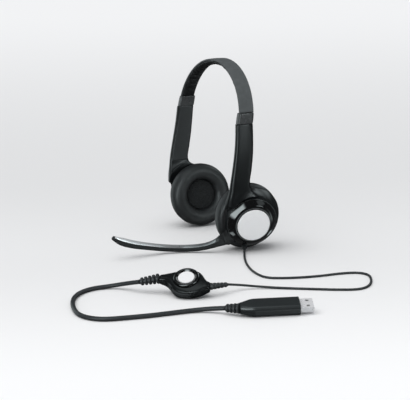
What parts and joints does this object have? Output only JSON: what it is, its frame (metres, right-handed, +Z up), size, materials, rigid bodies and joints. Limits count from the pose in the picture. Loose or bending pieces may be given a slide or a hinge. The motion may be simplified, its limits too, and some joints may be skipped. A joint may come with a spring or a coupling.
{
  "type": "office headset",
  "caption": "Over-the-head office headset: two padded ear cups, sliding arms, leather-covered band, swing-down microphone boom, and a lead with an inline remote to a USB plug.",
  "frame": {"origin": "on the surface the headset stands on, under the middle of the box of the headset without its cords", "axes": "+Z up through the headband, +X to the wearer's left (the microphone side), -Y to the wearer's front"},
  "size_m": [0.341, 0.2629, 0.1731],
  "materials": {
    "housing_plastic": "satin moulded, near black",
    "collar_plastic": "satin moulded, dark grey",
    "cup_plastic": "matte moulded, near black",
    "boom_plastic": "fine matte, near black",
    "remote_plastic": "satin moulded, dark grey",
    "plug_plastic": "satin moulded, dark grey",
    "inner_plastic": "as moulded",
    "tongue_plastic": "as moulded, white",
    "gloss_ring": "high gloss black",
    "badge_silver": "silver lacquer, satin",
    "inlay_satin": "satin gloss, grey",
    "strap_leatherette": "fine-grained leatherette, dark grey",
    "pad_leatherette": "soft leatherette, black",
    "cushion_leatherette": "smooth leatherette over foam, black",
    "foam_scrim": "open-cell foam disc, black",
    "cone_film": "thin film, amber",
    "magnet_steel": "plated",
    "spring_steel": "spring steel strip",
    "pivot_steel": "turned",
    "screw_steel": "black zinc",
    "usb_metal": "nickel plated",
    "board_green": "solder mask, green",
    "cord_rubber": "smooth soft jacket, dark grey"
  },
  "bodies": {
    "left_arm": {"left_arm_shell": "housing_plastic", "left_arm_cover": "housing_plastic", "left_cover_screws": "screw_steel", "left_detent_spring": "spring_steel", "left_bezel_ring": "gloss_ring", "left_badge": "badge_silver", "left_cable_boot": "cord_rubber", "headset_lead": "cord_rubber", "usb_cable": "cord_rubber", "remote_top": "remote_plastic", "remote_bottom": "remote_plastic", "remote_bezel": "gloss_ring", "remote_board": "board_green", "remote_screws": "screw_steel", "lead_relief": "cord_rubber", "cable_relief": "cord_rubber", "plug_relief": "cord_rubber", "plug_top": "plug_plastic", "plug_bottom": "plug_plastic", "usb_shell": "usb_metal", "usb_tongue": "tongue_plastic"},
    "headband": {"band_strap": "strap_leatherette", "band_pad": "pad_leatherette", "band_spring": "spring_steel", "left_band_collar": "collar_plastic", "right_band_collar": "collar_plastic", "left_slider_strip": "inner_plastic", "right_slider_strip": "inner_plastic"},
    "right_arm": {"right_arm_shell": "housing_plastic", "right_arm_cover": "housing_plastic", "right_cover_screws": "screw_steel", "right_detent_spring": "spring_steel", "right_bezel_ring": "gloss_ring", "right_badge": "badge_silver"},
    "left_pivot": {"left_pivot_cross": "pivot_steel"},
    "right_pivot": {"right_pivot_cross": "pivot_steel"},
    "left_cup": {"left_cushion": "cushion_leatherette", "left_scrim": "foam_scrim", "left_speaker_frame": "inner_plastic", "left_speaker_cone": "cone_film", "left_speaker_magnet": "magnet_steel", "left_baffle": "inner_plastic", "left_cup_shell": "cup_plastic", "left_cup_screws": "screw_steel"},
    "right_cup": {"right_cushion": "cushion_leatherette", "right_scrim": "foam_scrim", "right_speaker_frame": "inner_plastic", "right_speaker_cone": "cone_film", "right_speaker_magnet": "magnet_steel", "right_baffle": "inner_plastic", "right_cup_shell": "cup_plastic", "right_cup_screws": "screw_steel"},
    "boom": {"boom_hub": "housing_plastic", "boom_arm": "boom_plastic", "boom_inlay": "inlay_satin", "mic_capsule": "magnet_steel", "mic_grille": "boom_plastic"},
    "mute_button": {"mute_button": "badge_silver"},
    "volume_wheel": {"volume_wheel": "cord_rubber"}
  },
  "joints": [
    {"name": "left_slide", "type": "slide", "parent": "left_arm", "child": "headband", "axis": [-0.0855, 0.1392, 0.9866], "range_m": [0, 0.022]},
    {"name": "right_slide", "type": "slide", "parent": "headband", "child": "right_arm", "axis": [-0.0855, -0.1392, -0.9866], "range_m": [0, 0.022]},
    {"name": "left_swivel", "type": "hinge", "parent": "left_arm", "child": "left_pivot", "pos_m": [0.06229, 0.0482, 0.03033], "axis": [0.1045, 0, 0.9945], "range_deg": [-3.5, 3.5]},
    {"name": "left_tilt", "type": "hinge", "parent": "left_pivot", "child": "left_cup", "pos_m": [0.06229, 0.0482, 0.03033], "axis": [0, 1, 0], "range_deg": [-4, 4]},
    {"name": "right_swivel", "type": "hinge", "parent": "right_arm", "child": "right_pivot", "pos_m": [-0.06229, 0.0482, 0.03033], "axis": [-0.1045, 0, 0.9945], "range_deg": [-3.5, 3.5]},
    {"name": "right_tilt", "type": "hinge", "parent": "right_pivot", "child": "right_cup", "pos_m": [-0.06229, 0.0482, 0.03033], "axis": [0, 1, 0], "range_deg": [-4, 4]},
    {"name": "boom_turn", "type": "hinge", "parent": "left_arm", "child": "boom", "pos_m": [0.075, 0.0444, 0.0268], "axis": [0.957, -0.1653, -0.2385], "range_deg": [-50, 0]},
    {"name": "mute_press", "type": "slide", "parent": "left_arm", "child": "mute_button", "axis": [-0.3756, 0.2817, -0.8829], "range_m": [0, 0.0008], "stiffness_N_per_m": 500, "springref_m": -0.0008},
    {"name": "volume_turn", "type": "hinge", "parent": "left_arm", "child": "volume_wheel", "pos_m": [0.16747, -0.06528, 0.00916], "axis": [0.3756, -0.2817, 0.8829], "range_deg": [-135, 135]}
  ]
}
